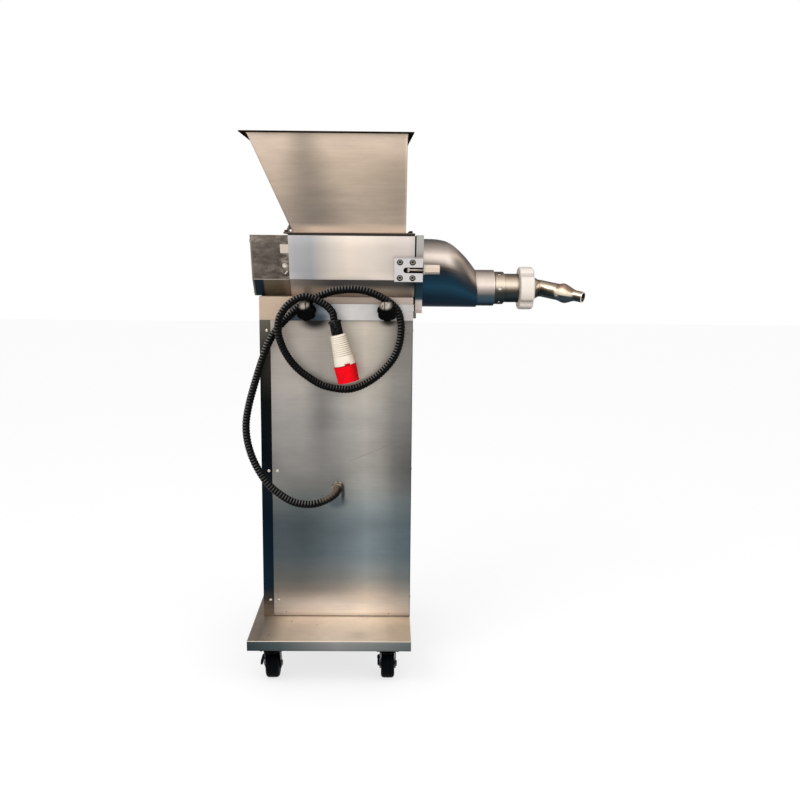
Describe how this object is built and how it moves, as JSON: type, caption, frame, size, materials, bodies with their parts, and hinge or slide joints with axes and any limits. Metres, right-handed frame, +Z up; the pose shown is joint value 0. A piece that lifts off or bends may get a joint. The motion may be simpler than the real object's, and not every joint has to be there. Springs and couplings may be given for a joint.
{
  "type": "horizontal filling machine",
  "caption": "Floor-standing twin auger filling machine on casters, with a hopper, a clamped outlet head and a bent nozzle.",
  "frame": {"origin": "under the middle of the whole machine, on the floor", "axes": "+Z up, +X along the machine to its outlet, -Y to the operator's side with the gland, knobs and plug"},
  "size_m": [0.9028, 0.57, 1.41],
  "materials": {
    "black_plastic": "gloss",
    "black_rubber": "matt",
    "bright_steel": "polished",
    "brushed_steel": "fine brushed",
    "caster_steel": "gloss black",
    "conduit_plastic": "satin",
    "contact_brass": "moulded with brass pins",
    "dark_steel": "dull",
    "gasket_rubber": "matt",
    "inverter_plastic": "matt",
    "ivory_plastic": "matt",
    "motor_paint": "painted",
    "nickel_brass": "nickelled",
    "panel_steel": "satin sheet",
    "red_plastic": "gloss",
    "satin_steel": "satin casting",
    "white_plastic": "satin"
  },
  "bodies": {
    "machine": {"base_tray": "brushed_steel", "caster_plate_front_left": "caster_steel", "caster_plate_front_right": "caster_steel", "caster_plate_rear_left": "caster_steel", "caster_plate_rear_right": "caster_steel", "left_side_cover": "dark_steel", "front_panel": "panel_steel", "right_side_cover": "brushed_steel", "rear_panel": "brushed_steel", "top_frame": "brushed_steel", "hook_strip": "bright_steel", "cable_gland": "nickel_brass", "power_conduit": "conduit_plastic", "conduit_sleeve": "black_rubber", "plug_body": "ivory_plastic", "plug_collar": "red_plastic", "plug_contacts": "contact_brass", "motor": "motor_paint", "motor_shelf": "brushed_steel", "inverter_box": "inverter_plastic", "drive_belt": "black_rubber", "trough_body": "brushed_steel", "trough_front_plate": "bright_steel", "drive_housing": "dark_steel", "drive_cover": "dark_steel", "hopper": "brushed_steel", "hopper_gasket": "gasket_rubber", "outlet_head": "satin_steel", "head_gasket": "gasket_rubber", "head_rest": "dark_steel", "slot_block_front": "bright_steel", "slot_block_rear": "bright_steel", "outlet_pipe": "brushed_steel"},
    "caster_front_left": {"caster_fork_front_left": "caster_steel"},
    "wheel_front_left": {"caster_wheel_front_left": "black_rubber"},
    "brake_front_left": {"brake_lever_front_left": "black_plastic"},
    "caster_front_right": {"caster_fork_front_right": "caster_steel"},
    "wheel_front_right": {"caster_wheel_front_right": "black_rubber"},
    "brake_front_right": {"brake_lever_front_right": "black_plastic"},
    "caster_rear_left": {"caster_fork_rear_left": "caster_steel"},
    "wheel_rear_left": {"caster_wheel_rear_left": "black_rubber"},
    "caster_rear_right": {"caster_fork_rear_right": "caster_steel"},
    "wheel_rear_right": {"caster_wheel_rear_right": "black_rubber"},
    "knob_left": {"star_knob_left": "black_plastic"},
    "knob_right": {"star_knob_right": "black_plastic"},
    "bolt_front": {"swing_bolt_front": "bright_steel"},
    "nut_front": {"clamp_nut_front": "bright_steel"},
    "bolt_rear": {"swing_bolt_rear": "bright_steel"},
    "nut_rear": {"clamp_nut_rear": "bright_steel"},
    "ring": {"ring_nut": "brushed_steel"},
    "union": {"union_nut": "white_plastic"},
    "spout": {"nozzle": "brushed_steel"},
    "auger_drive": {"auger_front": "bright_steel", "gear_front": "dark_steel", "driven_pulley": "dark_steel"},
    "auger_follower": {"auger_rear": "bright_steel", "gear_rear": "dark_steel"},
    "motor_shaft": {"motor_pulley": "dark_steel"}
  },
  "joints": [
    {"name": "caster_swivel_front_left", "type": "hinge", "parent": "machine", "child": "caster_front_left", "pos_m": [-0.37136, -0.247, 0.0834], "axis": [0, 0, 1], "continuous": true},
    {"name": "wheel_spin_front_left", "type": "hinge", "parent": "caster_front_left", "child": "wheel_front_left", "pos_m": [-0.37136, -0.221, 0.03718], "axis": [1, 0, 0], "continuous": true},
    {"name": "brake_press_front_left", "type": "hinge", "parent": "caster_front_left", "child": "brake_front_left", "pos_m": [-0.39546, -0.234, 0.06068], "axis": [1, 0, 0], "range_deg": [0, 25]},
    {"name": "caster_swivel_front_right", "type": "hinge", "parent": "machine", "child": "caster_front_right", "pos_m": [-0.06935, -0.247, 0.0834], "axis": [0, 0, 1], "continuous": true},
    {"name": "wheel_spin_front_right", "type": "hinge", "parent": "caster_front_right", "child": "wheel_front_right", "pos_m": [-0.06935, -0.221, 0.03718], "axis": [1, 0, 0], "continuous": true},
    {"name": "brake_press_front_right", "type": "hinge", "parent": "caster_front_right", "child": "brake_front_right", "pos_m": [-0.09346, -0.234, 0.06068], "axis": [1, 0, 0], "range_deg": [0, 25]},
    {"name": "caster_swivel_rear_left", "type": "hinge", "parent": "machine", "child": "caster_rear_left", "pos_m": [-0.37136, 0.247, 0.0834], "axis": [0, 0, 1], "continuous": true},
    {"name": "wheel_spin_rear_left", "type": "hinge", "parent": "caster_rear_left", "child": "wheel_rear_left", "pos_m": [-0.37136, 0.221, 0.03718], "axis": [1, 0, 0], "continuous": true},
    {"name": "caster_swivel_rear_right", "type": "hinge", "parent": "machine", "child": "caster_rear_right", "pos_m": [-0.06935, 0.247, 0.0834], "axis": [0, 0, 1], "continuous": true},
    {"name": "wheel_spin_rear_right", "type": "hinge", "parent": "caster_rear_right", "child": "wheel_rear_right", "pos_m": [-0.06935, 0.221, 0.03718], "axis": [1, 0, 0], "continuous": true},
    {"name": "knob_turn_left", "type": "hinge", "parent": "machine", "child": "knob_left", "pos_m": [-0.28376, -0.1676, 0.9628], "axis": [0, -1, 0], "continuous": true},
    {"name": "knob_turn_right", "type": "hinge", "parent": "machine", "child": "knob_right", "pos_m": [-0.07646, -0.1676, 0.9628], "axis": [0, -1, 0], "continuous": true},
    {"name": "bolt_swing_front", "type": "hinge", "parent": "machine", "child": "bolt_front", "pos_m": [-0.02536, -0.13494, 1.06998], "axis": [0, 0.3036, -0.9528], "range_deg": [0, 100]},
    {"name": "nut_turn_front", "type": "hinge", "parent": "bolt_front", "child": "nut_front", "pos_m": [0.03639, -0.13494, 1.06998], "axis": [1, 0, 0], "continuous": true},
    {"name": "bolt_swing_rear", "type": "hinge", "parent": "machine", "child": "bolt_rear", "pos_m": [-0.02536, 0.13494, 1.06998], "axis": [0, 0.3036, 0.9528], "range_deg": [0, 100]},
    {"name": "nut_turn_rear", "type": "hinge", "parent": "bolt_rear", "child": "nut_rear", "pos_m": [0.03639, 0.13494, 1.06998], "axis": [1, 0, 0], "continuous": true},
    {"name": "ring_nut_turn", "type": "hinge", "parent": "machine", "child": "ring", "pos_m": [0.22464, 0, 1.0195], "axis": [1, 0, 0], "continuous": true},
    {"name": "union_nut_turn", "type": "hinge", "parent": "machine", "child": "union", "pos_m": [0.29414, 0, 1.0195], "axis": [1, 0, 0], "continuous": true},
    {"name": "nozzle_turn", "type": "hinge", "parent": "machine", "child": "spout", "pos_m": [0.34064, 0, 1.0195], "axis": [1, 0, 0], "continuous": true},
    {"name": "auger_spin", "type": "hinge", "parent": "machine", "child": "auger_drive", "pos_m": [-0.20936, -0.042, 1.058], "axis": [1, 0, 0], "continuous": true},
    {"name": "auger_follower_spin", "type": "hinge", "parent": "machine", "child": "auger_follower", "pos_m": [-0.20936, 0.042, 1.058], "axis": [1, 0, 0], "continuous": true},
    {"name": "motor_spin", "type": "hinge", "parent": "machine", "child": "motor_shaft", "pos_m": [-0.38936, -0.042, 0.62], "axis": [1, 0, 0], "continuous": true}
  ],
  "couplings": [
    {"joint": "auger_follower_spin", "follows": "auger_spin", "ratio": -1},
    {"joint": "motor_spin", "follows": "auger_spin", "ratio": 1}
  ]
}
